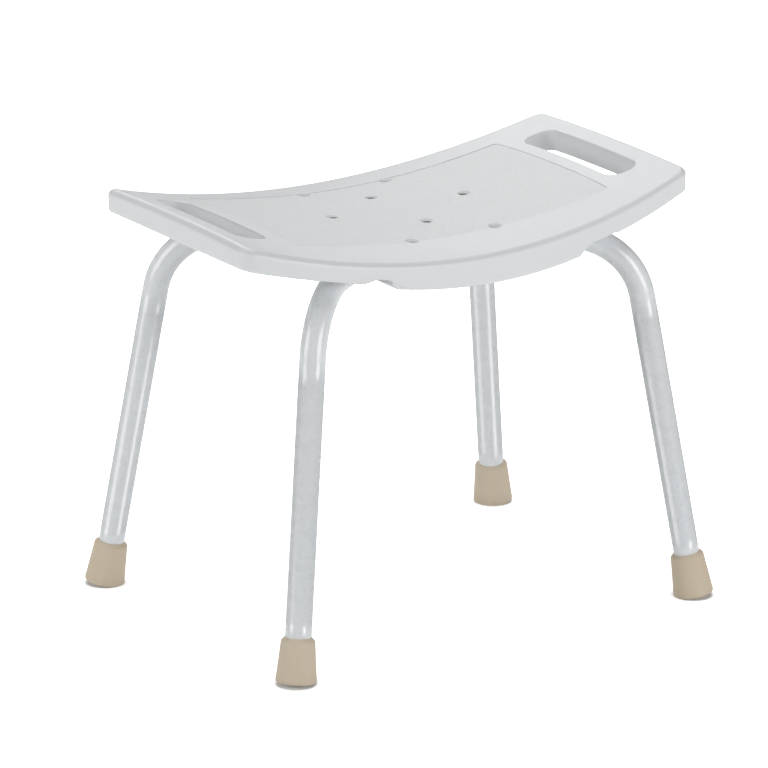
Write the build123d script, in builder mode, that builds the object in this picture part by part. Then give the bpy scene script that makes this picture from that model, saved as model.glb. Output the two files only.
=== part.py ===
from build123d import *

import os
from math import atan2, degrees, hypot, sqrt

os.makedirs("parts", exist_ok=True)

# A backless shower chair: one sagging moulded seat on four splayed legs of bent steel tube,
# each leg lying in a moulded channel under the seat and standing in a rubber ferrule.
# Millimetres. The origin is on the floor under the middle of the seat, +X runs along the
# seat, +Y to its back and +Z up.

# ---- seat, in plan -------------------------------------------------------------------
SEAT_LENGTH = 513.6
SEAT_END_WIDTH = 253.0
SEAT_MIDDLE_WIDTH = 305.0
CORNER_RADIUS = 14.0
PAD_LENGTH = 362.0
PAD_MIDDLE_WIDTH = 199.0
PAD_END_WIDTH = 197.0
PAD_CORNER_RADIUS = 6.0
PAD_RECESS = 0.8

# ---- seat, in height -----------------------------------------------------------------
EDGE_Z_MIDDLE = 380.3
EDGE_SAG = 42.5
CREST_RISE_MIDDLE = 11.0
CREST_RISE_END = 2.0
CROWN_POWER = 2.4
# The skirt's lower edge along the front: three arcs, each of three (x, depth below the rim),
# and the same straight stretch on to either end.
SKIRT_DEPTHS = (
    ((-240.0, 22.6), (-190.0, 20.8), (-104.0, 20.8)),
    ((-98.0, 25.5), (10.0, 29.8), (114.0, 30.0)),
    ((122.0, 23.0), (190.0, 23.2), (240.0, 22.6)),
)
SKIRT_END_DEPTH = 23.5
BLANK_FLOOR_Z = 320.0
BLANK_HEIGHT = 150.0
OVERHANG = 8.0
LOFT_STATIONS = (-270, -180, -90, 0, 90, 180, 270)

# ---- seat, walls and ribs ------------------------------------------------------------
SKIN = 4.0
WALL = 4.0
RIB = 2.6
RIB_DEPTH = 10.0
LONG_RIB_Y = 24.0
CROSS_RIB_X = (30.0, 162.0)
END_RIB_Y = 60.0
# Full-depth gussets behind the skirt beside the two front notches, as (x, inner end along Y).
GUSSETS = ((-100.0, -91.0), (112.0, -100.0))
TOP_EDGE_FILLET = 6.0
LOWER_EDGE_FILLET = 3.2

# ---- notches in the skirt: corners as (x, depth below the rim) --------------------------
NOTCH_FROM_Y = 128.0
NOTCH_LEFT = ((-93.0, 34.0), (-105.5, 15.5), (-121.0, 15.0), (-137.0, 22.0), (-137.0, 34.0))
NOTCH_RIGHT = ((110.0, 34.0), (128.0, 20.0), (158.0, 20.5), (164.0, 25.0), (164.0, 34.0))

# ---- hand slots and drain holes ------------------------------------------------------
SLOT_CENTRE_X = 214.5
SLOT_WIDTH = 34.0
SLOT_LENGTH = 157.0
SLOT_CORNER_RADIUS = 14.0
SLOT_COLLAR = 3.6
SLOT_WALL_DEPTH = 20.5
SLOT_RIM_FILLET = 2.2
DRAIN_DIAMETER = 9.0
DRAIN_RIM_DIAMETER = 13.0
DRAIN_RIM_DEPTH = 1.8
DRAIN_HOLES = [(sx * 47.5, sy * 96.0) for sx in (-1, 1) for sy in (-1, 1)]
DRAIN_HOLES += [(-75.8, 0.0), (75.8, 0.0), (0.0, -49.3), (0.0, 49.3)]

# ---- legs ----------------------------------------------------------------------------
TUBE_DIAMETER = 25.4
TUBE_WALL = 1.5
FOOT_X = 232.8
FOOT_Y = 175.8
LEG_TOP_X = 182.4
LEG_TOP_Y = 134.7
RUN_Z = 365.0
BEND_RADIUS = 72.0
RUN_END_FROM_CENTRE = 72.0

# ---- channel that holds the top run of a leg -----------------------------------------
CHANNEL_OUTER_END = 168.0
CHANNEL_PLAY = 0.6
CHANNEL_WALL = 2.8
CHANNEL_FOOT_Z = 358.0
CHANNEL_REACH = 60.0
CROSS_RIB_STATIONS = (99.0, 132.0, 160.0)
SCREW_STATIONS = (88.0, 110.0)
BOSS_DIAMETER = 17.0

# ---- fasteners -----------------------------------------------------------------------
SCREW_DIAMETER = 6.0
SCREW_HEAD_DIAMETER = 12.0
SCREW_HEAD_HEIGHT = 3.6
SCREW_HEAD_FILLET = 1.6
SCREW_INTO_BOSS = 9.0
DRIVE_RECESS = (7.0, 1.4, 1.6)
TUBE_HOLE_DIAMETER = 6.6
INSERT_DIAMETER = 9.0
INSERT_LENGTH = 9.5
INSERT_GROOVE = 0.6
SADDLE_LENGTH = 18.0
SADDLE_WIDTH = 17.0
SADDLE_THICKNESS = 3.0
SADDLE_CRADLE = 4.0
SADDLE_CORNER_RADIUS = 3.0

# ---- ferrule and the pieces inside a leg ---------------------------------------------
SOLE_RADIUS = 20.0
FERRULE_TOP_RADIUS = 16.4
FERRULE_HEIGHT = 44.0
FERRULE_SHOULDER = 3.2
SOLE_THICKNESS = 8.0
SOLE_AXIS_Z = 1.0
SOLE_FILLET = 2.6
LIP_THICKNESS = 0.8
SHOULDER_FILLET = 1.2
TREAD_GROOVES = (6.0, 10.5, 15.0)
TREAD_WIDTH = 1.8
TREAD_DEPTH = 1.6
DISC_THICKNESS = 1.5
DISC_HOLE_DIAMETER = 6.0
PLUG_FLANGE = 2.0
PLUG_STEM = 10.0
PLUG_WALL = 1.8

TUBE_RADIUS = TUBE_DIAMETER / 2
BORE_RADIUS = TUBE_RADIUS - TUBE_WALL
HALF_LENGTH = SEAT_LENGTH / 2
EDGE_RADIUS = (HALF_LENGTH**2 + EDGE_SAG**2) / (2 * EDGE_SAG)
SIDE_BOW = (SEAT_MIDDLE_WIDTH - SEAT_END_WIDTH) / 2
LEGS = {"front_left": (-1, -1), "front_right": (1, -1), "back_left": (-1, 1), "back_right": (1, 1)}


def save(piece, name):
    """Labels a finished piece and writes it as the node of that name."""
    piece.part.label = name
    export_step(piece.part, f"parts/{name}.step")


def half_width(x):
    """Half of the seat's width at x: the long sides bow outwards."""
    return SEAT_END_WIDTH / 2 + SIDE_BOW * (1 - (x / HALF_LENGTH) ** 2)


def edge_z(x):
    """Height of the seat's rim at x: it sags along an arc."""
    return EDGE_Z_MIDDLE + EDGE_RADIUS - sqrt(EDGE_RADIUS**2 - x**2)


def top_z(x, y):
    """Height of the sitting surface: it sags along X and is crowned along Y."""
    fade = abs(x / HALF_LENGTH) ** 3
    rise = CREST_RISE_MIDDLE + (CREST_RISE_END - CREST_RISE_MIDDLE) * fade
    return edge_z(x) + rise * (1 - (abs(y) / half_width(x)) ** CROWN_POWER)


def under_top_surface(drop):
    """A solid that fills everything below the sitting surface lowered by drop."""
    reach = SEAT_MIDDLE_WIDTH / 2 + OVERHANG
    across = [reach * step / 5 for step in range(-5, 6)]
    with BuildPart() as filled:
        for station in LOFT_STATIONS:
            with BuildSketch(Plane.YZ.offset(station)):
                with BuildLine():
                    crown = Spline(*[(y, top_z(station, y) - drop) for y in across])
                    Polyline(crown @ 1, (reach, BLANK_FLOOR_Z), (-reach, BLANK_FLOOR_Z), crown @ 0)
                make_face()
        loft()
    return filled.part


def seat_outline(inset):
    """The seat's plan as a closed sketch, with bowed long sides, drawn inset by a distance."""
    end, side, middle = HALF_LENGTH, SEAT_END_WIDTH / 2, SEAT_MIDDLE_WIDTH / 2
    with BuildSketch() as outline:
        with BuildLine():
            ThreePointArc((-end, side), (0, middle), (end, side))
            Line((end, side), (end, -side))
            ThreePointArc((end, -side), (0, -middle), (-end, -side))
            Line((-end, -side), (-end, side))
        make_face()
        fillet(outline.vertices(), CORNER_RADIUS)
        if inset:
            offset(amount=-inset, mode=Mode.REPLACE)
    return outline.sketch


def slot_columns(margin):
    """Two upright columns that fill the hand slots, wider than the slots by a margin."""
    with BuildPart() as columns:
        with BuildSketch(Plane.XY.offset(BLANK_FLOOR_Z)):
            with Locations((-SLOT_CENTRE_X, 0), (SLOT_CENTRE_X, 0)):
                RectangleRounded(
                    SLOT_WIDTH + 2 * margin, SLOT_LENGTH + 2 * margin, SLOT_CORNER_RADIUS + margin
                )
        extrude(amount=BLANK_HEIGHT)
    return columns.part


def skirt_points(*depths):
    """Points of the skirt's lower edge, from pairs of x and depth below the rim."""
    return [(x, edge_z(x) - depth) for x, depth in depths]


def lies_on_top(edge):
    """Whether the middle of an edge is on the sitting surface."""
    middle = edge.center()
    return abs(middle.Z - top_z(middle.X, middle.Y)) < 1.5


def around_a_slot(edge):
    """Whether an edge belongs to a hand slot's opening."""
    middle = edge.center()
    return abs(middle.X) < SLOT_CENTRE_X + SLOT_WIDTH / 2 + 2 and abs(middle.Y) < SLOT_LENGTH / 2 + 2


def on_the_lower_edge(edge):
    """Whether an edge runs along the outside of the skirt's lower edge."""
    middle = edge.center()
    low = middle.Z < edge_z(middle.X) - 18
    return low and (abs(middle.X) > HALF_LENGTH - 8 or abs(middle.Y) > SEAT_END_WIDTH / 2 - 10)


def on_the_run(distance, sx, sy):
    """The point in plan that is this far from the seat's centre on a leg's top run."""
    length = hypot(LEG_TOP_X, LEG_TOP_Y)
    return sx * LEG_TOP_X * distance / length, sy * LEG_TOP_Y * distance / length


def run_direction(sx, sy):
    """The turn about Z that points +X outwards along a leg's top run."""
    x, y = on_the_run(1.0, sx, sy)
    return degrees(atan2(y, x))


# ---- seat ----------------------------------------------------------------------------
with BuildPart() as slot_collars:
    add(slot_columns(SLOT_COLLAR))
    add(under_top_surface(SLOT_WALL_DEPTH), mode=Mode.SUBTRACT)

with BuildPart() as cavity:
    with BuildSketch(Plane.XY.offset(BLANK_FLOOR_Z)):
        add(seat_outline(WALL))
    extrude(amount=BLANK_HEIGHT)
    add(under_top_surface(SKIN), mode=Mode.INTERSECT)
    add(slot_collars.part, mode=Mode.SUBTRACT)

with BuildPart() as rib_grid:
    with BuildSketch(Plane.XY.offset(BLANK_FLOOR_Z)):
        slot_side = SLOT_CENTRE_X - SLOT_WIDTH / 2
        with Locations((0, -LONG_RIB_Y), (0, LONG_RIB_Y)):
            Rectangle(2 * slot_side, RIB)
        with Locations(*[(side * x, 0) for side in (-1, 1) for x in CROSS_RIB_X]):
            Rectangle(RIB, SEAT_MIDDLE_WIDTH)
        outer_rib_x = CROSS_RIB_X[-1]
        with Locations(*[(sx * outer_rib_x, sy * END_RIB_Y) for sx in (-1, 1) for sy in (-1, 1)]):
            Rectangle(2 * (slot_side - outer_rib_x), RIB)
    extrude(amount=BLANK_HEIGHT)
    add(under_top_surface(SKIN + RIB_DEPTH), mode=Mode.SUBTRACT)

with BuildPart() as gussets:
    for half_turn in (0, 180):
        with BuildSketch(Plane.XY.offset(BLANK_FLOOR_Z).rotated((0, 0, half_turn))):
            for x, inner_end_y in GUSSETS:
                reach = SEAT_MIDDLE_WIDTH / 2 + inner_end_y
                with Locations((x, inner_end_y - reach / 2)):
                    Rectangle(RIB, reach)
        extrude(amount=BLANK_HEIGHT)

with BuildPart() as channels:
    channel_gap = TUBE_DIAMETER + 2 * CHANNEL_PLAY
    wall_offset = (channel_gap + CHANNEL_WALL) / 2
    inner_end = RUN_END_FROM_CENTRE - PLUG_FLANGE - CHANNEL_WALL / 2
    wall_length = CHANNEL_OUTER_END - inner_end + CHANNEL_WALL / 2
    wall_middle = CHANNEL_OUTER_END - wall_length / 2
    for sx, sy in LEGS.values():
        along = Plane((0, 0, CHANNEL_FOOT_Z), x_dir=(*on_the_run(1, sx, sy), 0), z_dir=(0, 0, 1))
        with BuildSketch(along):
            with Locations((wall_middle, -wall_offset), (wall_middle, wall_offset)):
                Rectangle(wall_length, CHANNEL_WALL)
            with Locations((inner_end, 0)):
                Rectangle(CHANNEL_WALL, channel_gap)
        extrude(amount=CHANNEL_REACH)
        with BuildSketch(along.offset(RUN_Z - CHANNEL_FOOT_Z)):
            with Locations(*[(station, 0) for station in CROSS_RIB_STATIONS]):
                Rectangle(RIB, channel_gap + CHANNEL_WALL)
            with Locations(*[(station, 0) for station in SCREW_STATIONS]):
                Circle(BOSS_DIAMETER / 2)
        extrude(amount=CHANNEL_REACH)
    # The tubes' own space, and a blind hole in each boss for its threaded insert.
    for sx, sy in LEGS.values():
        start = on_the_run(RUN_END_FROM_CENTRE - PLUG_FLANGE, sx, sy)
        with BuildSketch(Plane((*start, RUN_Z), z_dir=(*on_the_run(1, sx, sy), 0))):
            Circle(TUBE_RADIUS)
        extrude(amount=2 * CHANNEL_OUTER_END, mode=Mode.SUBTRACT)
        with BuildSketch(Plane.XY.offset(RUN_Z)):
            with Locations(*[on_the_run(station, sx, sy) for station in SCREW_STATIONS]):
                Circle(INSERT_DIAMETER / 2)
        extrude(amount=TUBE_RADIUS + INSERT_LENGTH, mode=Mode.SUBTRACT)

with BuildPart() as hollow:
    add(cavity.part)
    add(rib_grid.part, mode=Mode.SUBTRACT)
    add(gussets.part, mode=Mode.SUBTRACT)
    add(channels.part, mode=Mode.SUBTRACT)

with BuildPart() as pad_recess:
    with BuildSketch(Plane.XY.offset(BLANK_FLOOR_Z)):
        with BuildLine():
            end, corner, middle = PAD_LENGTH / 2, PAD_END_WIDTH / 2, PAD_MIDDLE_WIDTH / 2
            ThreePointArc((-end, corner), (0, middle), (end, corner))
            Line((end, corner), (end, -corner))
            ThreePointArc((end, -corner), (0, -middle), (-end, -corner))
            Line((-end, -corner), (-end, corner))
        pad_face = make_face()
        fillet(pad_face.vertices(), PAD_CORNER_RADIUS)
    extrude(amount=BLANK_HEIGHT)
    add(under_top_surface(PAD_RECESS), mode=Mode.SUBTRACT)

with BuildPart() as seat:
    with BuildSketch(Plane.XY.offset(BLANK_FLOOR_Z)):
        add(seat_outline(0))
    extrude(amount=BLANK_HEIGHT)
    add(under_top_surface(0), mode=Mode.INTERSECT)
    # The lower edge is deep in the middle and shallower towards the ends, with a step at
    # the notch beside each leg. The back is the front turned by half.
    for half_turn in (0, 180):
        with BuildSketch(Plane.XZ.rotated((0, 0, half_turn))):
            with BuildLine():
                stretches = [ThreePointArc(*skirt_points(*depths)) for depths in SKIRT_DEPTHS]
                for first, second in zip(stretches, stretches[1:]):
                    Line(first @ 1, second @ 0)
                end_z = edge_z(HALF_LENGTH) - SKIRT_END_DEPTH
                beyond, floor_z = HALF_LENGTH + OVERHANG, BLANK_FLOOR_Z - OVERHANG
                Polyline(
                    stretches[-1] @ 1,
                    (HALF_LENGTH, end_z),
                    (beyond, end_z),
                    (beyond, floor_z),
                    (-beyond, floor_z),
                    (-beyond, end_z),
                    (-HALF_LENGTH, end_z),
                    stretches[0] @ 0,
                )
            make_face()
        extrude(amount=SEAT_MIDDLE_WIDTH, mode=Mode.SUBTRACT)
    add(slot_columns(0), mode=Mode.SUBTRACT)
    rims = seat.edges().filter_by(lies_on_top)
    fillet(rims.filter_by(around_a_slot), SLOT_RIM_FILLET)
    rims = seat.edges().filter_by(lies_on_top)
    fillet(rims.filter_by(around_a_slot, reverse=True), TOP_EDGE_FILLET)
    fillet(seat.edges().filter_by(on_the_lower_edge), LOWER_EDGE_FILLET)
    add(hollow.part, mode=Mode.SUBTRACT)
    add(pad_recess.part, mode=Mode.SUBTRACT)
    # A notch in the skirt beside each leg.
    for half_turn in (0, 180):
        with BuildSketch(Plane.XZ.rotated((0, 0, half_turn)).offset(NOTCH_FROM_Y)):
            for notch in (NOTCH_LEFT, NOTCH_RIGHT):
                with BuildLine():
                    Polyline(*skirt_points(*notch), close=True)
                make_face()
        extrude(amount=60, mode=Mode.SUBTRACT)
    for x, y in DRAIN_HOLES:
        rim_z = top_z(x, y) - PAD_RECESS
        with Locations((x, y, rim_z)):
            Cylinder(DRAIN_DIAMETER / 2, 8 * SKIN, mode=Mode.SUBTRACT)
            flare = (DRAIN_RIM_DIAMETER - DRAIN_DIAMETER) / 2
            cone_top = DRAIN_RIM_DIAMETER / 2 + flare
            Cone(DRAIN_DIAMETER / 2, cone_top, 2 * DRAIN_RIM_DEPTH, mode=Mode.SUBTRACT)
save(seat, "seat")


# ---- legs and what is on them --------------------------------------------------------
for name, (sx, sy) in LEGS.items():
    foot = Vector(sx * FOOT_X, sy * FOOT_Y, 0)
    corner = Vector(sx * LEG_TOP_X, sy * LEG_TOP_Y, RUN_Z)
    run_end = Vector(*on_the_run(RUN_END_FROM_CENTRE, sx, sy), RUN_Z)
    axis = (corner - foot).normalized()
    sole = foot + axis * SOLE_AXIS_Z
    tube_end = sole + axis * (SOLE_THICKNESS + DISC_THICKNESS)
    outwards = Vector(*on_the_run(1, sx, sy), 0)

    with BuildPart() as leg:
        with BuildLine() as leg_path:
            FilletPolyline(tube_end, corner, run_end, radius=BEND_RADIUS)
        with BuildSketch(Plane(tube_end, z_dir=axis)):
            Circle(TUBE_RADIUS)
            Circle(BORE_RADIUS, mode=Mode.SUBTRACT)
        sweep()
        with BuildSketch(Plane.XY.offset(RUN_Z - TUBE_DIAMETER)):
            with Locations(*[on_the_run(station, sx, sy) for station in SCREW_STATIONS]):
                Circle(TUBE_HOLE_DIAMETER / 2)
        extrude(amount=2 * TUBE_DIAMETER, mode=Mode.SUBTRACT)
    save(leg, f"leg_{name}")

    with BuildPart() as plug:
        with BuildSketch(Plane(run_end, z_dir=-outwards)):
            Circle(TUBE_RADIUS)
        extrude(amount=PLUG_FLANGE)
        with BuildSketch(Plane(run_end, z_dir=outwards)):
            Circle(BORE_RADIUS)
            Circle(BORE_RADIUS - PLUG_WALL, mode=Mode.SUBTRACT)
        extrude(amount=PLUG_STEM)
    save(plug, f"end_plug_{name}")

    with BuildPart() as ferrule:
        radial = outwards.cross(axis).normalized()
        with BuildSketch(Plane(sole, x_dir=radial, z_dir=radial.cross(axis))):
            with BuildLine():
                Polyline(
                    (0, 0),
                    (SOLE_RADIUS, 0),
                    (FERRULE_TOP_RADIUS, FERRULE_HEIGHT - FERRULE_SHOULDER),
                    (TUBE_RADIUS + LIP_THICKNESS, FERRULE_HEIGHT),
                    (TUBE_RADIUS, FERRULE_HEIGHT),
                    (TUBE_RADIUS, SOLE_THICKNESS),
                    (0, SOLE_THICKNESS),
                    close=True,
                )
            make_face()
            with Locations(*[(radius, 0) for radius in TREAD_GROOVES]):
                Rectangle(TREAD_WIDTH, 2 * TREAD_DEPTH, mode=Mode.SUBTRACT)
        revolve(axis=Axis(sole, axis))
        circles = ferrule.edges().filter_by(GeomType.CIRCLE)
        fillet(circles.filter_by(lambda e: abs(e.radius - SOLE_RADIUS) < 0.01), SOLE_FILLET)
        circles = ferrule.edges().filter_by(GeomType.CIRCLE)
        fillet(circles.filter_by(lambda e: abs(e.radius - FERRULE_TOP_RADIUS) < 0.01), SHOULDER_FILLET)
        # The rubber flattens where it bears on the floor.
        split(bisect_by=Plane.XY, keep=Keep.TOP)
    save(ferrule, f"ferrule_{name}")

    with BuildPart() as disc:
        with BuildSketch(Plane(sole + axis * SOLE_THICKNESS, z_dir=axis)):
            Circle(TUBE_RADIUS - 0.3)
            Circle(DISC_HOLE_DIAMETER / 2, mode=Mode.SUBTRACT)
        extrude(amount=DISC_THICKNESS)
    save(disc, f"ferrule_disc_{name}")

    screw_places = [on_the_run(station, sx, sy) for station in SCREW_STATIONS]
    saddle_z = RUN_Z - TUBE_RADIUS - SADDLE_THICKNESS
    with BuildPart() as saddles:
        turned = [Location((x, y, 0), (0, 0, run_direction(sx, sy))) for x, y in screw_places]
        with BuildSketch(Plane.XY.offset(saddle_z)):
            with Locations(*turned):
                RectangleRounded(SADDLE_LENGTH, SADDLE_WIDTH, SADDLE_CORNER_RADIUS)
        extrude(amount=SADDLE_THICKNESS + SADDLE_CRADLE)
        with BuildSketch(Plane(run_end, z_dir=outwards)):
            Circle(TUBE_RADIUS)
        extrude(amount=CHANNEL_OUTER_END, mode=Mode.SUBTRACT)
        with BuildSketch(Plane.XY.offset(saddle_z)):
            with Locations(*screw_places):
                Circle(TUBE_HOLE_DIAMETER / 2)
        extrude(amount=SADDLE_THICKNESS + SADDLE_CRADLE, mode=Mode.SUBTRACT)
    save(saddles, f"saddle_washers_{name}")

    with BuildPart() as screws:
        with BuildSketch(Plane.XY.offset(saddle_z)):
            with Locations(*screw_places):
                Circle(SCREW_HEAD_DIAMETER / 2)
        extrude(amount=-SCREW_HEAD_HEIGHT)
        heads = screws.faces().filter_by(Axis.Z).group_by(Axis.Z)[0]
        fillet(heads.edges(), SCREW_HEAD_FILLET)
        with BuildSketch(Plane.XY.offset(saddle_z)):
            with Locations(*screw_places):
                Circle(SCREW_DIAMETER / 2)
        extrude(amount=SADDLE_THICKNESS + TUBE_DIAMETER + SCREW_INTO_BOSS)
        recess_length, recess_width, recess_depth = DRIVE_RECESS
        with BuildSketch(Plane.XY.offset(saddle_z - SCREW_HEAD_HEIGHT)):
            with Locations(*screw_places):
                Rectangle(recess_length, recess_width)
                Rectangle(recess_width, recess_length)
        extrude(amount=recess_depth, mode=Mode.SUBTRACT)
    save(screws, f"screws_{name}")

    with BuildPart() as inserts:
        with BuildSketch(Plane.XY.offset(RUN_Z + TUBE_RADIUS)):
            with Locations(*screw_places):
                Circle(INSERT_DIAMETER / 2)
                Circle(SCREW_DIAMETER / 2, mode=Mode.SUBTRACT)
        extrude(amount=INSERT_LENGTH)
        with BuildSketch(Plane.XY.offset(RUN_Z + TUBE_RADIUS + INSERT_LENGTH / 3)):
            with Locations(*screw_places):
                Circle(INSERT_DIAMETER / 2 + 1)
                Circle(INSERT_DIAMETER / 2 - INSERT_GROOVE, mode=Mode.SUBTRACT)
        extrude(amount=INSERT_LENGTH / 3, mode=Mode.SUBTRACT)
    save(inserts, f"inserts_{name}")
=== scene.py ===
"""Backless shower chair, dressed for the studio: a moulded seat on bent tube legs."""

import logging
import math
from dataclasses import dataclass
from enum import Enum

import bmesh
import bpy
from mathutils import Matrix, Vector

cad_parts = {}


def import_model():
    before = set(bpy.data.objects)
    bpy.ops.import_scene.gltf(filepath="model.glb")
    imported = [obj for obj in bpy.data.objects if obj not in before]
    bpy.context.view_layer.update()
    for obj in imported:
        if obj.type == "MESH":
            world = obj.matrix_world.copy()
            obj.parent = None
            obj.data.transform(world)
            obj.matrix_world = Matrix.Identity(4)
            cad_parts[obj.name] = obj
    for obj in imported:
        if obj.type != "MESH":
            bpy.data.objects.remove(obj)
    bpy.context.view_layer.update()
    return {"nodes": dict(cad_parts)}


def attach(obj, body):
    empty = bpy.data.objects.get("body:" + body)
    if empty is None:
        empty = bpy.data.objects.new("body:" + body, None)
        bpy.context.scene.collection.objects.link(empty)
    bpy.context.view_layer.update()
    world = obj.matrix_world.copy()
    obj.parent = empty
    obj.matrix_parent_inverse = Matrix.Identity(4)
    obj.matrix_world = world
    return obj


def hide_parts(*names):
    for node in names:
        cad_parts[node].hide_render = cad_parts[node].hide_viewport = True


LOG = logging.getLogger("shower_chair")
BODY = "root"
MM = 0.001
Colour = tuple[float, float, float, float]


class Slot(Enum):
    """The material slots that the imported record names."""

    SEAT = "seat_plastic"
    TUBE = "white_powder_coat"
    FERRULE = "beige_rubber"
    PLUG = "plug_plastic"
    STEEL = "zinc_steel"
    BRASS = "insert_brass"


class Corner(Enum):
    """The four legs, each with the signs of its place along X and Y."""

    FRONT_LEFT = (-1, -1)
    FRONT_RIGHT = (1, -1)
    BACK_LEFT = (-1, 1)
    BACK_RIGHT = (1, 1)

    @property
    def label(self) -> str:
        """The corner's name as the CAD nodes spell it."""
        return self.name.lower()


# ---- node helpers ---------------------------------------------------------------------


class NodeSheet:
    """A small writer of shader nodes: adds nodes, links them and lays them out in rows."""

    COLUMNS = 6
    COLUMN_WIDTH = 220
    ROW_HEIGHT = 320
    MIX_INPUTS = (0, 6, 7)
    MIX_OUTPUT = 2

    def __init__(self, tree: bpy.types.NodeTree) -> None:
        """Keeps the tree that is written.

        Args:
            tree: the node tree.
        """
        self.tree = tree
        self.count = 0

    def add(self, kind: str, **settings: object) -> bpy.types.Node:
        """Adds a node.

        Args:
            kind: the node's type, without its ShaderNode prefix where it has one.
            settings: properties of the node by name.

        Returns:
            The new node.
        """
        full = kind if kind.startswith("Node") else f"ShaderNode{kind}"
        node = self.tree.nodes.new(full)
        for name, value in settings.items():
            setattr(node, name, value)
        row, column = divmod(self.count, self.COLUMNS)
        node.location = (column * self.COLUMN_WIDTH, -row * self.ROW_HEIGHT)
        self.count += 1
        return node

    def link(self, source: bpy.types.NodeSocket, target: bpy.types.NodeSocket) -> None:
        """Links an output socket to an input socket."""
        self.tree.links.new(source, target)

    def math(self, operation: str, first: object, second: object = 0.0) -> bpy.types.NodeSocket:
        """Adds a Math node.

        Args:
            operation: the Math node's operation.
            first: a number or a socket.
            second: a number or a socket.

        Returns:
            The node's value.
        """
        node = self.add("Math", operation=operation)
        for socket, value in zip(node.inputs, (first, second)):
            if isinstance(value, bpy.types.NodeSocket):
                self.link(value, socket)
            else:
                socket.default_value = value
        return node.outputs[0]

    def ramp(
        self, value: bpy.types.NodeSocket, low: float, high: float, to: tuple[float, float] = (0.0, 1.0)
    ) -> bpy.types.NodeSocket:
        """Maps a value smoothly from one range to another.

        Args:
            value: the value that is mapped.
            low: the value that gives the first result.
            high: the value that gives the second result.
            to: the two results.

        Returns:
            The mapped value.
        """
        node = self.add("MapRange", interpolation_type="SMOOTHSTEP")
        self.link(value, node.inputs["Value"])
        for name, number in zip(("From Min", "From Max", "To Min", "To Max"), (low, high, *to)):
            node.inputs[name].default_value = number
        return node.outputs["Result"]

    def noise(
        self, vector: bpy.types.NodeSocket, scale: float, detail: float = 3.0, roughness: float = 0.55
    ) -> bpy.types.NodeSocket:
        """Adds a Noise texture.

        Args:
            vector: where the noise is read.
            scale: cells per metre.
            detail: octaves.
            roughness: how strong the finer octaves are.

        Returns:
            The noise's value.
        """
        node = self.add("TexNoise")
        self.link(vector, node.inputs["Vector"])
        node.inputs["Scale"].default_value = scale
        node.inputs["Detail"].default_value = detail
        node.inputs["Roughness"].default_value = roughness
        return node.outputs["Fac"]

    def mix(self, share: object, first: object, second: object) -> bpy.types.NodeSocket:
        """Mixes two colours.

        Args:
            share: a number or a socket, 0 for the first colour and 1 for the second.
            first: a colour or a socket.
            second: a colour or a socket.

        Returns:
            The mixed colour.
        """
        node = self.add("Mix", data_type="RGBA")
        sockets = [node.inputs[index] for index in self.MIX_INPUTS]
        for socket, value in zip(sockets, (share, first, second)):
            if isinstance(value, bpy.types.NodeSocket):
                self.link(value, socket)
            else:
                socket.default_value = value
        return node.outputs[self.MIX_OUTPUT]

    def bump(
        self, height: bpy.types.NodeSocket, distance: float, strength: float = 1.0, below: object = None
    ) -> bpy.types.NodeSocket:
        """Adds a Bump node.

        Args:
            height: the height from 0 to 1.
            distance: what a height of 1 measures, in metres.
            strength: the bump's strength.
            below: the normal of a coarser bump, if any.

        Returns:
            The bumped normal.
        """
        node = self.add("Bump")
        node.inputs["Distance"].default_value = distance
        node.inputs["Strength"].default_value = strength
        self.link(height, node.inputs["Height"])
        if below is not None:
            self.link(below, node.inputs["Normal"])
        return node.outputs["Normal"]


def group_tree(name: str, inputs: dict[str, float], outputs: tuple[str, ...]) -> bpy.types.NodeTree:
    """Makes an empty node group.

    Args:
        name: the group's name.
        inputs: its number inputs with their defaults; a first input named Vector is always there.
        outputs: its number outputs.

    Returns:
        The group's tree.
    """
    tree = bpy.data.node_groups.new(name, "ShaderNodeTree")
    tree.interface.new_socket("Vector", in_out="INPUT", socket_type="NodeSocketVector")
    for socket, default in inputs.items():
        made = tree.interface.new_socket(socket, in_out="INPUT", socket_type="NodeSocketFloat")
        made.default_value = default
    for socket in outputs:
        tree.interface.new_socket(socket, in_out="OUTPUT", socket_type="NodeSocketFloat")
    return tree


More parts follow.
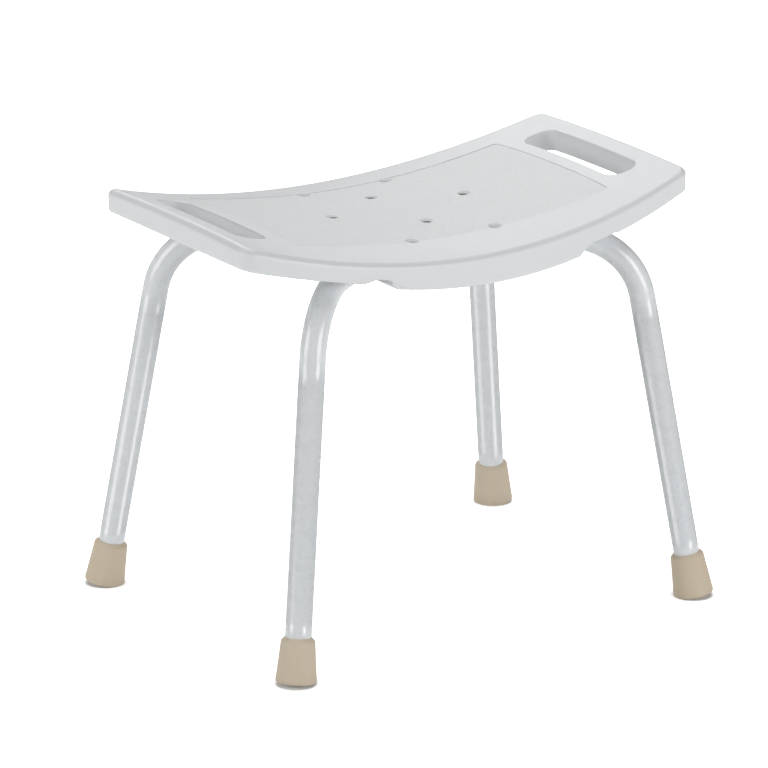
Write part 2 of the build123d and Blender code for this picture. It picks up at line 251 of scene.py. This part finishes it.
class SharedEffects:
    """The effects that more than one material uses, each a node group that is built once."""

    NOISE_SPAN = (0.3, 0.7)
    DRIFT_OCTAVES = 2.0
    MOTTLE_OCTAVES = 4.0
    BREAKUP_SPAN = (0.35, 0.65)
    EDGE_SPAN = (0.52, 0.62)
    CORNER_SPAN = (0.48, 0.40)

    def __init__(self) -> None:
        """Builds the groups."""
        self.cloud = self._build_cloud()
        self.edge = self._build_edge()

    def _build_cloud(self) -> bpy.types.NodeTree:
        """Builds the uneven gloss and tone: a broad drift and a fine mottle, each from 0 to 1.

        Returns:
            The group's tree.
        """
        tree = group_tree("uneven_finish", {"Drift Scale": 6.0, "Mottle Scale": 90.0}, ("Drift", "Mottle"))
        sheet = NodeSheet(tree)
        inlet = sheet.add("NodeGroupInput")
        outlet = sheet.add("NodeGroupOutput")
        for socket, octaves in (("Drift", self.DRIFT_OCTAVES), ("Mottle", self.MOTTLE_OCTAVES)):
            noise = sheet.add("TexNoise")
            sheet.link(inlet.outputs["Vector"], noise.inputs["Vector"])
            sheet.link(inlet.outputs[f"{socket} Scale"], noise.inputs["Scale"])
            noise.inputs["Detail"].default_value = octaves
            sheet.link(sheet.ramp(noise.outputs["Fac"], *self.NOISE_SPAN), outlet.inputs[socket])
        return tree

    def _build_edge(self) -> bpy.types.NodeTree:
        """Builds the wear on edges, broken up by noise, and a mask of the corners, which gives painted
        shade on plastic and tarnish on metal, from 0 to 1.

        Returns:
            The group's tree.
        """
        tree = group_tree("edges_and_corners", {"Breakup Scale": 160.0}, ("Edge", "Corner"))
        sheet = NodeSheet(tree)
        inlet = sheet.add("NodeGroupInput")
        outlet = sheet.add("NodeGroupOutput")
        point = sheet.add("NewGeometry").outputs["Pointiness"]
        noise = sheet.add("TexNoise")
        sheet.link(inlet.outputs["Vector"], noise.inputs["Vector"])
        sheet.link(inlet.outputs["Breakup Scale"], noise.inputs["Scale"])
        broken = sheet.ramp(noise.outputs["Fac"], *self.BREAKUP_SPAN)
        edge = sheet.math("MULTIPLY", sheet.ramp(point, *self.EDGE_SPAN), broken)
        sheet.link(edge, outlet.inputs["Edge"])
        sheet.link(sheet.ramp(point, *self.CORNER_SPAN), outlet.inputs["Corner"])
        return tree


# ---- finishes -------------------------------------------------------------------------

Dressing = tuple[bpy.types.NodeSocket, bpy.types.NodeSocket, bpy.types.NodeSocket]


def shade(colour: Colour, factor: float) -> Colour:
    """A colour made darker or lighter by a factor."""
    return (*(min(1.0, channel * factor) for channel in colour[:3]), 1.0)


@dataclass(frozen=True)
class Finish:
    """What every finish has: a name, a base colour and a gloss."""

    name: str
    colour: Colour
    tint: Colour
    roughness: float
    roughness_spread: float = 0.06
    metallic: float = 0.0
    specular: float = 0.5
    coat: float = 0.0
    coat_roughness: float = 0.08
    drift_scale: float = 6.0
    mottle_scale: float = 90.0

    def build(self, effects: SharedEffects) -> bpy.types.Material:
        """Builds the material.

        Args:
            effects: the shared node groups.

        Returns:
            The material.
        """
        material = bpy.data.materials.new(self.name)
        material.use_nodes = True
        sheet = NodeSheet(material.node_tree)
        shader = material.node_tree.nodes["Principled BSDF"]
        shader.inputs["Metallic"].default_value = self.metallic
        shader.inputs["Specular IOR Level"].default_value = self.specular
        shader.inputs["Coat Weight"].default_value = self.coat
        shader.inputs["Coat Roughness"].default_value = self.coat_roughness
        place = sheet.add("TexCoord").outputs["Object"]
        cloud = sheet.add("Group", node_tree=effects.cloud)
        sheet.link(place, cloud.inputs["Vector"])
        cloud.inputs["Drift Scale"].default_value = self.drift_scale
        cloud.inputs["Mottle Scale"].default_value = self.mottle_scale
        colour = sheet.mix(cloud.outputs["Drift"], self.colour, self.tint)
        gloss = sheet.ramp(
            cloud.outputs["Mottle"],
            0.0,
            1.0,
            (self.roughness - self.roughness_spread, self.roughness + self.roughness_spread),
        )
        colour, gloss, normal = self.detail(sheet, effects, place, colour, gloss)
        sheet.link(colour, shader.inputs["Base Color"])
        sheet.link(gloss, shader.inputs["Roughness"])
        sheet.link(normal, shader.inputs["Normal"])
        return material

    def detail(
        self,
        sheet: NodeSheet,
        effects: SharedEffects,
        place: bpy.types.NodeSocket,
        colour: bpy.types.NodeSocket,
        gloss: bpy.types.NodeSocket,
    ) -> Dressing:
        """What a finish adds to the shared base.

        Args:
            sheet: the material's node sheet.
            effects: the shared node groups.
            place: the Object coordinates.
            colour: the base colour so far.
            gloss: the roughness so far.

        Returns:
            The colour, the roughness and the normal.
        """
        raise NotImplementedError


@dataclass(frozen=True)
class MouldedPlastic(Finish):
    """Plain moulded nylon: a faint pebble, and painted shade in its corners."""

    pebble_scale: float = 260.0
    pebble_depth: float = 0.05 * MM
    pebble_octaves: float = 2.0
    pebble_strength: float = 0.5
    corner_shade_share: float = 0.35
    corner_painted_shade: float = 0.80
    edge_polish: float = 0.08

    def detail(
        self,
        sheet: NodeSheet,
        effects: SharedEffects,
        place: bpy.types.NodeSocket,
        colour: bpy.types.NodeSocket,
        gloss: bpy.types.NodeSocket,
    ) -> Dressing:
        """Adds the pebble, shiny worn edges and painted shade in the corners.

        Args:
            sheet: the material's node sheet.
            effects: the shared node groups.
            place: the Object coordinates.
            colour: the base colour so far.
            gloss: the roughness so far.

        Returns:
            The colour, the roughness and the normal.
        """
        pebble = sheet.noise(place, self.pebble_scale, self.pebble_octaves)
        normal = sheet.bump(pebble, self.pebble_depth, self.pebble_strength)
        edges = sheet.add("Group", node_tree=effects.edge)
        sheet.link(place, edges.inputs["Vector"])
        # painted shade: the colour is darkened in concave corners, where shade falls
        shaded_corner = sheet.math("MULTIPLY", edges.outputs["Corner"], self.corner_shade_share)
        colour = sheet.mix(shaded_corner, colour, shade(self.colour, self.corner_painted_shade))
        polish = sheet.math("MULTIPLY", edges.outputs["Edge"], self.edge_polish)
        gloss = sheet.math("SUBTRACT", gloss, polish)
        return colour, gloss, normal


@dataclass(frozen=True)
class MouldedSeat(MouldedPlastic):
    """Satin seat plastic: smooth round the border, and fine grained over the sitting pad."""

    pad_half_length: float = 181.0 * MM
    pad_half_width: float = 98.6 * MM
    pad_edge: float = 0.5 * MM
    pad_tone: float = 1.02
    grain_scale: float = 620.0
    grain_depth: float = 0.22 * MM
    grain_span: tuple[float, float] = (0.05, 0.62)
    grain_strength: float = 0.6
    valley_painted_shade: float = 0.90
    valley_share: float = 0.6
    grain_roughness: float = 0.12
    rounding_rise: tuple[float, float] = (0.12, 0.5)
    rounding_fall: tuple[float, float] = (0.86, 0.965)
    rounding_painted_shade: float = 0.86
    upright_span: tuple[float, float] = (0.25, 0.45)
    drain_reach: float = 95.0 * MM
    drain_spread: float = 97.2 * MM
    drain_bottom: float = 386.5 * MM
    drain_wall_painted_shade: float = 0.25

    def pad_mask(self, sheet: NodeSheet, place: bpy.types.NodeSocket) -> bpy.types.NodeSocket:
        """Finds the sitting pad.

        Args:
            sheet: the material's node sheet.
            place: the Object coordinates.

        Returns:
            1 over the pad and 0 elsewhere.
        """
        split = sheet.add("SeparateXYZ")
        sheet.link(place, split.inputs[0])
        sides = []
        for axis, half in (("X", self.pad_half_length), ("Y", self.pad_half_width)):
            distance = sheet.math("ABSOLUTE", split.outputs[axis])
            sides.append(sheet.ramp(distance, half, half + self.pad_edge, (1.0, 0.0)))
        return sheet.math("MULTIPLY", *sides)

    def drain_wall_shade_mask(self, sheet: NodeSheet, place: bpy.types.NodeSocket) -> bpy.types.NodeSocket:
        """Finds the walls of the drain holes, which are given painted shade.

        Args:
            sheet: the material's node sheet.
            place: the Object coordinates.

        Returns:
            1 on the holes' walls and 0 elsewhere.
        """
        split = sheet.add("SeparateXYZ")
        sheet.link(place, split.inputs[0])
        facing = sheet.add("SeparateXYZ")
        sheet.link(sheet.add("NewGeometry").outputs["Normal"], facing.inputs[0])
        upright = sheet.math("ABSOLUTE", facing.outputs["Z"])
        walls = sheet.ramp(upright, *self.upright_span, (1.0, 0.0))
        along = sheet.math("ABSOLUTE", split.outputs["X"])
        inside = sheet.ramp(along, self.drain_reach, self.drain_reach + MM, (1.0, 0.0))
        above = sheet.ramp(split.outputs["Z"], self.drain_bottom, self.drain_bottom + self.pad_edge)
        across = sheet.math("ABSOLUTE", split.outputs["Y"])
        within = sheet.ramp(across, self.drain_spread, self.drain_spread + self.pad_edge, (1.0, 0.0))
        place_mask = sheet.math("MULTIPLY", sheet.math("MULTIPLY", inside, within), above)
        return sheet.math("MULTIPLY", walls, place_mask)

    def rounding_mask(self, sheet: NodeSheet) -> bpy.types.NodeSocket:
        """Finds the rounded edges, where the surface turns from the top to the skirt, which are given
        painted shade.

        Args:
            sheet: the material's node sheet.

        Returns:
            1 along the roundings and 0 elsewhere.
        """
        split = sheet.add("SeparateXYZ")
        sheet.link(sheet.add("NewGeometry").outputs["Normal"], split.inputs[0])
        rising = sheet.ramp(split.outputs["Z"], *self.rounding_rise)
        falling = sheet.ramp(split.outputs["Z"], *self.rounding_fall, (1.0, 0.0))
        return sheet.math("MULTIPLY", rising, falling)

    def detail(
        self,
        sheet: NodeSheet,
        effects: SharedEffects,
        place: bpy.types.NodeSocket,
        colour: bpy.types.NodeSocket,
        gloss: bpy.types.NodeSocket,
    ) -> Dressing:
        """Adds the pad's grain and tone with painted shade in its valleys, painted shade along the
        roundings and painted shade on the drain holes' walls.

        Args:
            sheet: the material's node sheet.
            effects: the shared node groups.
            place: the Object coordinates.
            colour: the base colour so far.
            gloss: the roughness so far.

        Returns:
            The colour, the roughness and the normal.
        """
        colour, gloss, normal = super().detail(sheet, effects, place, colour, gloss)
        pad = self.pad_mask(sheet, place)
        colour = sheet.mix(pad, colour, shade(self.colour, self.pad_tone))
        cells = sheet.add("TexVoronoi", feature="SMOOTH_F1")
        sheet.link(place, cells.inputs["Vector"])
        cells.inputs["Scale"].default_value = self.grain_scale
        bumps = sheet.ramp(cells.outputs["Distance"], *self.grain_span, (1.0, 0.0))
        # painted shade: the grain's valleys are painted darker
        valleys = sheet.math("MULTIPLY", sheet.math("SUBTRACT", 1.0, bumps), pad)
        valley = sheet.math("MULTIPLY", valleys, self.valley_share)
        colour = sheet.mix(valley, colour, shade(self.colour, self.valley_painted_shade))
        gloss = sheet.math("ADD", gloss, sheet.math("MULTIPLY", pad, self.grain_roughness))
        grain = sheet.math("MULTIPLY", bumps, pad)
        normal = sheet.bump(grain, self.grain_depth, self.grain_strength, normal)
        rounding = self.rounding_mask(sheet)
        # painted shade: the roundings are darkened by the way they face, standing in for a dark reflection
        colour = sheet.mix(rounding, colour, shade(self.colour, self.rounding_painted_shade))
        # painted shade: the drain holes' walls are darkened to stand in for the dark cavity behind them
        colour = sheet.mix(self.drain_wall_shade_mask(sheet, place), colour, shade(self.colour, self.drain_wall_painted_shade))
        return colour, gloss, normal


@dataclass(frozen=True)
class PowderCoat(Finish):
    """Glossy powder coat on steel tube, with its slight orange peel and a few scuffs."""

    peel_scale: float = 420.0
    peel_depth: float = 0.004 * MM
    peel_octaves: float = 2.0
    peel_strength: float = 0.4
    scuff_scale: float = 46.0
    scuff_octaves: float = 6.0
    scuff_roughness: float = 0.7
    scuff_span: tuple[float, float] = (0.66, 0.78)
    scuff_gloss: float = 0.06
    scuff_share: float = 0.4
    scuff_shade: float = 0.96

    def detail(
        self,
        sheet: NodeSheet,
        effects: SharedEffects,
        place: bpy.types.NodeSocket,
        colour: bpy.types.NodeSocket,
        gloss: bpy.types.NodeSocket,
    ) -> Dressing:
        """Adds the orange peel and a few dull scuffs.

        Args:
            sheet: the material's node sheet.
            effects: the shared node groups; not used here.
            place: the Object coordinates.
            colour: the base colour so far.
            gloss: the roughness so far.

        Returns:
            The colour, the roughness and the normal.
        """
        peel = sheet.noise(place, self.peel_scale, self.peel_octaves)
        normal = sheet.bump(peel, self.peel_depth, self.peel_strength)
        rubbed = sheet.noise(place, self.scuff_scale, self.scuff_octaves, self.scuff_roughness)
        scuffs = sheet.ramp(rubbed, *self.scuff_span)
        gloss = sheet.math("ADD", gloss, sheet.math("MULTIPLY", scuffs, self.scuff_gloss))
        share = sheet.math("MULTIPLY", scuffs, self.scuff_share)
        colour = sheet.mix(share, colour, shade(self.colour, self.scuff_shade))
        return colour, gloss, normal


@dataclass(frozen=True)
class MouldedRubber(Finish):
    """Matt moulded rubber, with fine pores and dust that darkens it towards the floor."""

    pore_scale: float = 900.0
    pore_depth: float = 0.08 * MM
    pore_octaves: float = 3.0
    pore_strength: float = 0.6
    dust_height: float = 12.0 * MM
    smear_scale: float = 140.0
    smear_octaves: float = 5.0
    smear_roughness: float = 0.65
    smear_span: tuple[float, float] = (0.38, 0.68)
    dust_share: float = 0.30
    dust_shade: float = 0.62
    worn_share: float = 0.4
    worn_shade: float = 1.12

    def detail(
        self,
        sheet: NodeSheet,
        effects: SharedEffects,
        place: bpy.types.NodeSocket,
        colour: bpy.types.NodeSocket,
        gloss: bpy.types.NodeSocket,
    ) -> Dressing:
        """Adds the pores, the dusty foot and paler worn edges.

        Args:
            sheet: the material's node sheet.
            effects: the shared node groups.
            place: the Object coordinates.
            colour: the base colour so far.
            gloss: the roughness so far.

        Returns:
            The colour, the roughness and the normal.
        """
        split = sheet.add("SeparateXYZ")
        sheet.link(place, split.inputs[0])
        pores = sheet.noise(place, self.pore_scale, self.pore_octaves)
        normal = sheet.bump(pores, self.pore_depth, self.pore_strength)
        low = sheet.ramp(split.outputs["Z"], 0.0, self.dust_height, (1.0, 0.0))
        trodden = sheet.noise(place, self.smear_scale, self.smear_octaves, self.smear_roughness)
        smear = sheet.ramp(trodden, *self.smear_span)
        dusty = sheet.math("MULTIPLY", sheet.math("MULTIPLY", low, smear), self.dust_share)
        colour = sheet.mix(dusty, colour, shade(self.colour, self.dust_shade))
        edges = sheet.add("Group", node_tree=effects.edge)
        sheet.link(place, edges.inputs["Vector"])
        worn = sheet.math("MULTIPLY", edges.outputs["Edge"], self.worn_share)
        colour = sheet.mix(worn, colour, shade(self.colour, self.worn_shade))
        return colour, gloss, normal


@dataclass(frozen=True)
class PlatedMetal(Finish):
    """Plated or turned metal with fine tool marks."""

    line_scale: float = 1400.0
    line_depth: float = 0.02 * MM
    line_strength: float = 0.4
    line_distortion: float = 1.5
    tarnish_share: float = 0.6
    tarnish_shade: float = 0.6

    def detail(
        self,
        sheet: NodeSheet,
        effects: SharedEffects,
        place: bpy.types.NodeSocket,
        colour: bpy.types.NodeSocket,
        gloss: bpy.types.NodeSocket,
    ) -> Dressing:
        """Adds tool marks and tarnish in the corners.

        Args:
            sheet: the material's node sheet.
            effects: the shared node groups.
            place: the Object coordinates.
            colour: the base colour so far.
            gloss: the roughness so far.

        Returns:
            The colour, the roughness and the normal.
        """
        wave = sheet.add("TexWave", bands_direction="Z")
        sheet.link(place, wave.inputs["Vector"])
        wave.inputs["Scale"].default_value = self.line_scale
        wave.inputs["Distortion"].default_value = self.line_distortion
        normal = sheet.bump(wave.outputs["Fac"], self.line_depth, self.line_strength)
        edges = sheet.add("Group", node_tree=effects.edge)
        sheet.link(place, edges.inputs["Vector"])
        tarnish = sheet.math("MULTIPLY", edges.outputs["Corner"], self.tarnish_share)
        return sheet.mix(tarnish, colour, shade(self.colour, self.tarnish_shade)), gloss, normal


SEAT_WHITE: Colour = (0.700, 0.714, 0.722, 1.0)
SEAT_WHITE_COOL: Colour = (0.690, 0.708, 0.720, 1.0)
TUBE_WHITE: Colour = (0.710, 0.730, 0.742, 1.0)
TUBE_WHITE_COOL: Colour = (0.696, 0.720, 0.736, 1.0)
RUBBER_BEIGE: Colour = (0.592, 0.507, 0.390, 1.0)
RUBBER_TAN: Colour = (0.565, 0.480, 0.362, 1.0)
NYLON_GREY: Colour = (0.160, 0.165, 0.170, 1.0)
NYLON_DARK: Colour = (0.140, 0.145, 0.150, 1.0)
ZINC: Colour = (0.620, 0.630, 0.650, 1.0)
ZINC_YELLOWED: Colour = (0.560, 0.570, 0.550, 1.0)
BRASS: Colour = (0.680, 0.500, 0.220, 1.0)
BRASS_DULL: Colour = (0.600, 0.430, 0.190, 1.0)


class Wardrobe:
    """Every finish of the chair, built once."""

    def __init__(self) -> None:
        """Builds the shared effects and the materials."""
        effects = SharedEffects()
        finishes: dict[Slot, Finish] = {
            Slot.SEAT: MouldedSeat(
                "satin_seat_plastic", SEAT_WHITE, SEAT_WHITE_COOL, roughness=0.42, roughness_spread=0.05
            ),
            Slot.TUBE: PowderCoat(
                "white_powder_coat_finish",
                TUBE_WHITE,
                TUBE_WHITE_COOL,
                roughness=0.28,
                roughness_spread=0.02,
                coat=0.3,
            ),
            Slot.FERRULE: MouldedRubber(
                "beige_rubber_finish", RUBBER_BEIGE, RUBBER_TAN, roughness=0.58, specular=0.35
            ),
            Slot.PLUG: MouldedPlastic("grey_nylon", NYLON_GREY, NYLON_DARK, roughness=0.5),
            Slot.STEEL: PlatedMetal("zinc_plate", ZINC, ZINC_YELLOWED, roughness=0.32, metallic=1.0),
            Slot.BRASS: PlatedMetal("turned_brass", BRASS, BRASS_DULL, roughness=0.3, metallic=1.0),
        }
        self.materials = {slot: finish.build(effects) for slot, finish in finishes.items()}

    def __getitem__(self, slot: Slot) -> bpy.types.Material:
        """The material of a slot."""
        return self.materials[slot]


# ---- pieces ---------------------------------------------------------------------------


@dataclass
class TubeLegs:
    """Four legs of bent round tube: up from the ferrule, round the bend, in under the seat."""

    tube_radius: float = 12.7 * MM
    bore_radius: float = 11.2 * MM
    foot: tuple[float, float] = (232.8 * MM, 175.8 * MM)
    top: tuple[float, float] = (182.4 * MM, 134.7 * MM)
    run_height: float = 365.0 * MM
    bend_radius: float = 72.0 * MM
    run_end: float = 72.0 * MM
    tube_start: float = 10.5 * MM
    sides: int = 96
    bend_steps: int = 48
    straight_steps: int = 12
    merge_distance: float = 0.001 * MM
    end_face_limit: float = 0.99

    def centre_line(self, corner: Corner) -> tuple[Vector, Vector, Vector, Vector]:
        """Works out where a leg's straight stretches run.

        Args:
            corner: which leg.

        Returns:
            The lower end, the direction upwards, the corner that the bend rounds off, and the
            direction in which the top run goes on.
        """
        sx, sy = corner.value
        foot = Vector((sx * self.foot[0], sy * self.foot[1], 0.0))
        turn = Vector((sx * self.top[0], sy * self.top[1], self.run_height))
        upwards = (turn - foot).normalized()
        inwards = -Vector((turn.x, turn.y, 0.0)).normalized()
        return foot + upwards * self.tube_start, upwards, turn, inwards

    def extend(
        self, sheet: bmesh.types.BMesh, ring: list[bmesh.types.BMFace], way: Vector
    ) -> list[bmesh.types.BMFace]:
        """Extrudes the tube's end ring along a straight stretch, in equal lengths.

        Args:
            sheet: the mesh that is built.
            ring: the faces of the end ring.
            way: the whole stretch.

        Returns:
            The faces of the new end ring.
        """
        for _ in range(self.straight_steps):
            made = bmesh.ops.extrude_face_region(sheet, geom=ring)["geom"]
            corners = [item for item in made if isinstance(item, bmesh.types.BMVert)]
            bmesh.ops.translate(sheet, verts=corners, vec=way / self.straight_steps)
            ring = [item for item in made if isinstance(item, bmesh.types.BMFace)]
        return ring

    def build_leg(self, corner: Corner) -> bpy.types.Object:
        """Builds one leg.

        Args:
            corner: which leg.

        Returns:
            The leg's object.
        """
        start, upwards, turn, inwards = self.centre_line(corner)
        sheet = bmesh.new()
        stand = Matrix.Translation(start) @ upwards.to_track_quat("Z", "Y").to_matrix().to_4x4()
        for radius in (self.tube_radius, self.bore_radius):
            bmesh.ops.create_circle(sheet, segments=self.sides, radius=radius, matrix=stand)
        ring = bmesh.ops.bridge_loops(sheet, edges=sheet.edges[:])["faces"]
        angle = upwards.angle(inwards)
        setback = self.bend_radius * math.tan(angle / 2)
        bend_start = turn - upwards * setback
        ring = self.extend(sheet, ring, bend_start - start)
        across = upwards.cross(inwards).normalized()
        centre = bend_start + across.cross(upwards) * self.bend_radius
        borders = {edge for face in ring for edge in face.edges}
        points = {vert for face in ring for vert in face.verts}
        swung = bmesh.ops.spin(
            sheet,
            geom=[*ring, *borders, *points],
            cent=centre,
            axis=across,
            angle=angle,
            steps=self.bend_steps,
            use_duplicate=False,
        )["geom_last"]
        ring = [item for item in swung if isinstance(item, bmesh.types.BMFace)]
        bend_end = turn + inwards * setback
        run_end = Vector((-inwards.x * self.run_end, -inwards.y * self.run_end, self.run_height))
        self.extend(sheet, ring, run_end - bend_end)
        bmesh.ops.remove_doubles(sheet, verts=sheet.verts, dist=self.merge_distance)
        bmesh.ops.recalc_face_normals(sheet, faces=sheet.faces)
        for face in sheet.faces:
            along = max(abs(face.normal.dot(way)) for way in (upwards, inwards))
            face.smooth = along < self.end_face_limit
        mesh = bpy.data.meshes.new(f"bent_tube_{corner.label}")
        sheet.to_mesh(mesh)
        sheet.free()
        leg = bpy.data.objects.new(f"bent_tube_{corner.label}", mesh)
        bpy.context.scene.collection.objects.link(leg)
        return leg

    def build(self, wardrobe: Wardrobe) -> None:
        """Builds and dresses the four legs.

        Args:
            wardrobe: the finishes.
        """
        for corner in Corner:
            leg = self.build_leg(corner)
            leg.data.materials.append(wardrobe[Slot.TUBE])
            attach(leg, BODY)
            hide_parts(f"leg_{corner.label}")
            LOG.info("built %s", leg.name)


@dataclass
class CarriedParts:
    """The parts whose shapes the frame already has: they stay, and are given their finishes."""

    nodes: dict[str, bpy.types.Object]
    finishes: tuple[tuple[str, Slot], ...] = (
        ("seat", Slot.SEAT),
        ("ferrule_disc", Slot.STEEL),
        ("ferrule", Slot.FERRULE),
        ("end_plug", Slot.PLUG),
        ("screws", Slot.STEEL),
        ("saddle_washers", Slot.PLUG),
        ("inserts", Slot.BRASS),
    )

    def dress(self, wardrobe: Wardrobe) -> None:
        """Gives each part its finish.

        Args:
            wardrobe: the finishes.
        """
        for name, part in self.nodes.items():
            slot = next((slot for start, slot in self.finishes if name.startswith(start)), None)
            if slot is not None:
                part.data.materials.clear()
                part.data.materials.append(wardrobe[slot])
                LOG.info("dressed %s", name)


# ---- studio ---------------------------------------------------------------------------


@dataclass(frozen=True)
class Softbox:
    """A square soft light: its name, place and side in metres, and its power in watts."""

    name: str
    place: tuple[float, float, float]
    size: float
    watts: float


@dataclass
class Studio:
    """A white floor, a white surround, soft lights and the camera."""

    azimuth_deg: float = -33.371
    elevation_deg: float = 17.549
    distance: float = 6.6697
    lens_mm: float = 320.1
    sensor_mm: float = 36.0
    clip: tuple[float, float] = (0.1, 60.0)
    aim: tuple[float, float, float] = (-0.0177, -0.0013, 0.2149)
    floor_half: float = 20.0
    floor_squares: int = 8
    floor_colour: Colour = (0.80, 0.80, 0.80, 1.0)
    floor_roughness: float = 0.9
    floor_glow: float = 0.17
    floor_white: float = 1.0
    contact_share: float = 0.10
    contact_reach: float = 55.0 * MM
    contact_span: tuple[float, float] = (0.35, 0.95)
    contact_samples: int = 16
    surround: float = 0.01
    backdrop: float = 1.1
    softboxes: tuple[Softbox, ...] = (
        Softbox("overhead_softbox", (0.3, 0.5, 3.2), 2.4, 66.0),
        Softbox("back_softbox", (1.4, 2.8, 2.0), 1.8, 18.0),
        Softbox("left_softbox", (-2.9, 0.4, 1.2), 1.8, 48.0),
        Softbox("front_softbox", (0.9, -3.2, 1.0), 1.8, 64.0),
    )
    light_aim: tuple[float, float, float] = (0.0, 0.0, 0.25)

    def build_camera(self) -> None:
        """Adds the camera and makes it the scene's own."""
        azimuth, elevation = math.radians(self.azimuth_deg), math.radians(self.elevation_deg)
        back = Vector(
            (
                math.sin(azimuth) * math.cos(elevation),
                -math.cos(azimuth) * math.cos(elevation),
                math.sin(elevation),
            )
        )
        data = bpy.data.cameras.new("studio_camera")
        data.lens = self.lens_mm
        data.sensor_width = self.sensor_mm
        data.clip_start, data.clip_end = self.clip
        camera = bpy.data.objects.new("studio_camera", data)
        camera.location = Vector(self.aim) + back * self.distance
        camera.rotation_mode = "QUATERNION"
        camera.rotation_quaternion = back.to_track_quat("Z", "Y")
        bpy.context.scene.collection.objects.link(camera)
        bpy.context.scene.camera = camera

    def build_floor(self) -> None:
        """Adds the white floor, which shows only painted shadows close to the feet, drawn into its glow.
        """
        mesh = bpy.data.meshes.new("studio_floor")
        plane = bmesh.new()
        squares = self.floor_squares
        bmesh.ops.create_grid(plane, x_segments=squares, y_segments=squares, size=self.floor_half)
        plane.to_mesh(mesh)
        plane.free()
        floor = bpy.data.objects.new("studio_floor", mesh)
        bpy.context.scene.collection.objects.link(floor)
        material = bpy.data.materials.new("white_floor")
        material.use_nodes = True
        nodes = material.node_tree.nodes
        sheet = NodeSheet(material.node_tree)
        shader = nodes["Principled BSDF"]
        shader.inputs["Base Color"].default_value = self.floor_colour
        shader.inputs["Roughness"].default_value = self.floor_roughness
        shader.inputs["Specular IOR Level"].default_value = 0.0
        shader.inputs["Emission Color"].default_value = (1.0, 1.0, 1.0, 1.0)
        # painted shadow: an AO node lowers the floor's glow close to the feet
        near = sheet.add("AmbientOcclusion", samples=self.contact_samples)
        near.inputs["Distance"].default_value = self.contact_reach
        clear = sheet.ramp(near.outputs["AO"], *self.contact_span, (self.contact_share, 1.0))
        seen = sheet.add("LightPath").outputs["Is Camera Ray"]
        glow = sheet.ramp(seen, 0.0, 1.0, (self.floor_glow, self.floor_white))
        sheet.link(sheet.math("MULTIPLY", clear, glow), shader.inputs["Emission Strength"])
        below = sheet.add("MixShader")
        sheet.link(sheet.add("NewGeometry").outputs["Backfacing"], below.inputs["Fac"])
        sheet.link(shader.outputs[0], below.inputs[1])
        sheet.link(sheet.add("BsdfTransparent").outputs[0], below.inputs[2])
        sheet.link(below.outputs[0], nodes["Material Output"].inputs["Surface"])
        mesh.materials.append(material)

    def build_surround(self) -> None:
        """Adds a white surround that lights the chair evenly."""
        world = bpy.data.worlds.new("white_surround")
        bpy.context.scene.world = world
        world.use_nodes = True
        sheet = NodeSheet(world.node_tree)
        background = world.node_tree.nodes["Background"]
        path = sheet.add("LightPath")
        strength = sheet.ramp(path.outputs["Is Camera Ray"], 0.0, 1.0, (self.surround, self.backdrop))
        background.inputs["Color"].default_value = (1.0, 1.0, 1.0, 1.0)
        sheet.link(strength, background.inputs["Strength"])

    def build_light(self, softbox: Softbox) -> None:
        """Adds a soft light that faces the chair.

        Args:
            softbox: the light.
        """
        data = bpy.data.lights.new(softbox.name, "AREA")
        data.size = softbox.size
        data.energy = softbox.watts
        light = bpy.data.objects.new(softbox.name, data)
        light.location = softbox.place
        light.rotation_mode = "QUATERNION"
        away = Vector(softbox.place) - Vector(self.light_aim)
        light.rotation_quaternion = away.to_track_quat("Z", "Y")
        bpy.context.scene.collection.objects.link(light)

    def build(self) -> None:
        """Builds the whole studio."""
        self.build_camera()
        self.build_floor()
        self.build_surround()
        for softbox in self.softboxes:
            self.build_light(softbox)
        bpy.context.scene.view_settings.view_transform = "Standard"


def main() -> None:
    """Loads the frame and builds the studio and the chair."""
    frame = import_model()
    Studio().build()
    wardrobe = Wardrobe()
    CarriedParts(frame["nodes"]).dress(wardrobe)
    TubeLegs().build(wardrobe)


if __name__ == "__main__":
    logging.basicConfig(level=logging.INFO, format="%(message)s")
    main()
